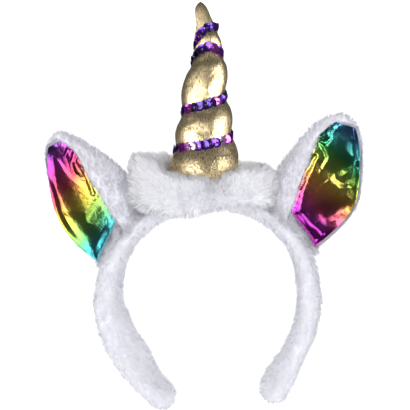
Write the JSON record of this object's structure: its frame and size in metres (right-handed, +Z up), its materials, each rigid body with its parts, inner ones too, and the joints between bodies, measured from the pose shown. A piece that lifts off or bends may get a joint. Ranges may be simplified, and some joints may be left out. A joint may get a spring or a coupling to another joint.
{
  "type": "unicorn horn headband",
  "caption": "Padded plush headband with a stuffed gold horn wound with sequins, a fur ruff and cupped foil-lined ears, lying on its back.",
  "frame": {"origin": "on the plane that the headband lies on, under the middle of the ruff's flattened back", "axes": "+X to the right of the front view, +Y from the open tips of the band towards the horn's tip, +Z up out of the front of the headband"},
  "size_m": [0.2312, 0.2875, 0.0655],
  "materials": {
    "band_plush": "white short-pile plush sleeve",
    "ruff_plush": "white long-pile plush",
    "ear_plush": "white short-pile plush",
    "gold_lame": "metallic gold cloth with a fine grain along the horn",
    "sequins": "purple metallic sequins with a hole in the middle",
    "foil_left": "metallic foil cloth in a rainbow from violet at the tip to teal at the foot",
    "foil_right": "metallic foil cloth in a rainbow from blue at the tip to magenta at the foot"
  },
  "bodies": {
    "root": {"band": "band_plush", "ruff": "ruff_plush", "horn": "gold_lame", "sequin_string": "sequins", "ear_back_left": "ear_plush", "ear_back_right": "ear_plush", "ear_lining_left": "foil_left", "ear_lining_right": "foil_right"}
  },
  "joints": []
}
